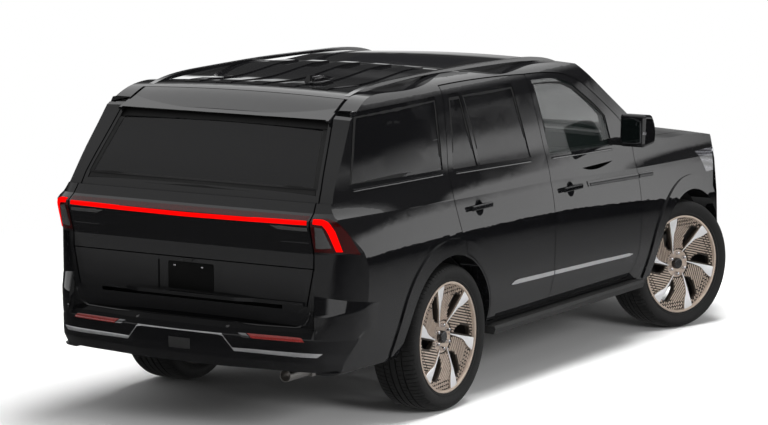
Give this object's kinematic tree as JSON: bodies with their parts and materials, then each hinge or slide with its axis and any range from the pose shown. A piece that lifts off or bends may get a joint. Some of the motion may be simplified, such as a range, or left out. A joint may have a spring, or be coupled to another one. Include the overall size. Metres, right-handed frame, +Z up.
{
  "type": "family suv",
  "caption": "Large black family SUV with opening doors, hood, liftgate over a drop-down tailgate, steering front wheels and alloy wheels.",
  "frame": {"origin": "on the ground at mid length and mid width", "axes": "+X forward, +Y the left side, +Z up"},
  "size_m": [5.3331, 2.38, 1.8939],
  "materials": {
    "black_paint": "gloss",
    "tinted_glass": "gloss",
    "red_lens": "gloss",
    "clear_lens": "gloss",
    "bright_trim": "polished",
    "dark_plastic": "matte",
    "cast_metal": "matte",
    "exhaust_steel": "satin",
    "seat_leather": "satin",
    "tyre_rubber": "matte",
    "rim_alloy": "satin"
  },
  "bodies": {
    "chassis": {"frame": "dark_plastic", "floor": "dark_plastic", "firewall": "dark_plastic", "body_sides": "black_paint", "roof": "black_paint", "sunroof_glass": "tinted_glass", "roof_rails": "black_paint", "front_fenders": "black_paint", "cowl": "black_paint", "windshield": "tinted_glass", "quarter_glass": "tinted_glass", "front_bumper": "black_paint", "grille": "bright_trim", "headlamps": "clear_lens", "rear_bumper": "black_paint", "tail_lamps": "red_lens", "side_steps": "dark_plastic", "wheel_liners": "dark_plastic", "dashboard": "dark_plastic", "console": "dark_plastic", "front_seats": "seat_leather", "second_row_seats": "seat_leather", "third_row_seats": "seat_leather", "powertrain": "cast_metal", "radiator": "dark_plastic", "exhaust": "exhaust_steel", "fuel_tank": "dark_plastic", "front_suspension": "cast_metal", "rear_suspension": "cast_metal", "spare_wheel": "tyre_rubber", "rear_panel": "black_paint"},
    "front_left_door": {"front_door_left": "black_paint", "front_glass_left": "tinted_glass", "mirror_left": "black_paint"},
    "front_right_door": {"front_door_right": "black_paint", "front_glass_right": "tinted_glass", "mirror_right": "black_paint"},
    "rear_left_door": {"rear_door_left": "black_paint", "rear_glass_left": "tinted_glass"},
    "rear_right_door": {"rear_door_right": "black_paint", "rear_glass_right": "tinted_glass"},
    "hood_body": {"hood": "black_paint"},
    "liftgate_body": {"liftgate": "black_paint", "liftgate_glass": "tinted_glass", "light_bar": "red_lens"},
    "tailgate_body": {"tailgate": "black_paint"},
    "fuel_door_body": {"fuel_door": "black_paint"},
    "steering_wheel_body": {"steering_wheel": "seat_leather"},
    "left_knuckle": {"knuckle_left": "cast_metal"},
    "right_knuckle": {"knuckle_right": "cast_metal"},
    "front_left_wheel": {"front_tyre_left": "tyre_rubber", "front_rim_left": "rim_alloy"},
    "front_right_wheel": {"front_tyre_right": "tyre_rubber", "front_rim_right": "rim_alloy"},
    "rear_left_wheel": {"rear_tyre_left": "tyre_rubber", "rear_rim_left": "rim_alloy"},
    "rear_right_wheel": {"rear_tyre_right": "tyre_rubber", "rear_rim_right": "rim_alloy"}
  },
  "joints": [
    {"name": "front_left_door_hinge", "type": "hinge", "parent": "chassis", "child": "front_left_door", "pos_m": [0.9665, 1.0045, 0.8], "axis": [0, 0, -1], "range_deg": [0, 65]},
    {"name": "front_right_door_hinge", "type": "hinge", "parent": "chassis", "child": "front_right_door", "pos_m": [0.9665, -1.0045, 0.8], "axis": [0, 0, 1], "range_deg": [0, 65]},
    {"name": "rear_left_door_hinge", "type": "hinge", "parent": "chassis", "child": "rear_left_door", "pos_m": [-0.1855, 1.0045, 0.8], "axis": [0, 0, -1], "range_deg": [0, 68]},
    {"name": "rear_right_door_hinge", "type": "hinge", "parent": "chassis", "child": "rear_right_door", "pos_m": [-0.1855, -1.0045, 0.8], "axis": [0, 0, 1], "range_deg": [0, 68]},
    {"name": "hood_hinge", "type": "hinge", "parent": "chassis", "child": "hood_body", "pos_m": [1.2715, 0, 1.299], "axis": [0, -1, 0], "range_deg": [0, 50]},
    {"name": "liftgate_hinge", "type": "hinge", "parent": "chassis", "child": "liftgate_body", "pos_m": [-2.0215, 0, 1.835], "axis": [0, 1, 0], "range_deg": [0, 75]},
    {"name": "tailgate_hinge", "type": "hinge", "parent": "chassis", "child": "tailgate_body", "pos_m": [-2.555, 0, 0.7415], "axis": [0, -1, 0], "range_deg": [0, 88]},
    {"name": "fuel_door_hinge", "type": "hinge", "parent": "chassis", "child": "fuel_door_body", "pos_m": [-1.6855, 1.004, 1.09], "axis": [0, 0, -1], "range_deg": [0, 95]},
    {"name": "steer_left", "type": "hinge", "parent": "chassis", "child": "left_knuckle", "pos_m": [1.691, 0.77, 0.419], "axis": [0, 0, 1], "range_deg": [-15, 53]},
    {"name": "steer_right", "type": "hinge", "parent": "chassis", "child": "right_knuckle", "pos_m": [1.691, -0.77, 0.419], "axis": [0, 0, 1], "range_deg": [-15, 53]},
    {"name": "steering_wheel_turn", "type": "hinge", "parent": "chassis", "child": "steering_wheel_body", "pos_m": [0.689, 0.4, 1.06], "axis": [-0.9063, 0, 0.4226], "range_deg": [-235, 805]},
    {"name": "front_left_wheel_spin", "type": "hinge", "parent": "left_knuckle", "child": "front_left_wheel", "pos_m": [1.7195, 0.8527, 0.419], "axis": [0.3256, 0.9455, 0], "continuous": true},
    {"name": "front_right_wheel_spin", "type": "hinge", "parent": "right_knuckle", "child": "front_right_wheel", "pos_m": [1.6625, -0.8527, 0.419], "axis": [0.3256, 0.9455, 0], "continuous": true},
    {"name": "rear_left_wheel_spin", "type": "hinge", "parent": "chassis", "child": "rear_left_wheel", "pos_m": [-1.421, 0.8575, 0.419], "axis": [0, 1, 0], "continuous": true},
    {"name": "rear_right_wheel_spin", "type": "hinge", "parent": "chassis", "child": "rear_right_wheel", "pos_m": [-1.421, -0.8575, 0.419], "axis": [0, 1, 0], "continuous": true}
  ],
  "couplings": [
    {"joint": "steer_right", "follows": "steer_left", "ratio": 1},
    {"joint": "steering_wheel_turn", "follows": "steer_left", "ratio": 15}
  ]
}
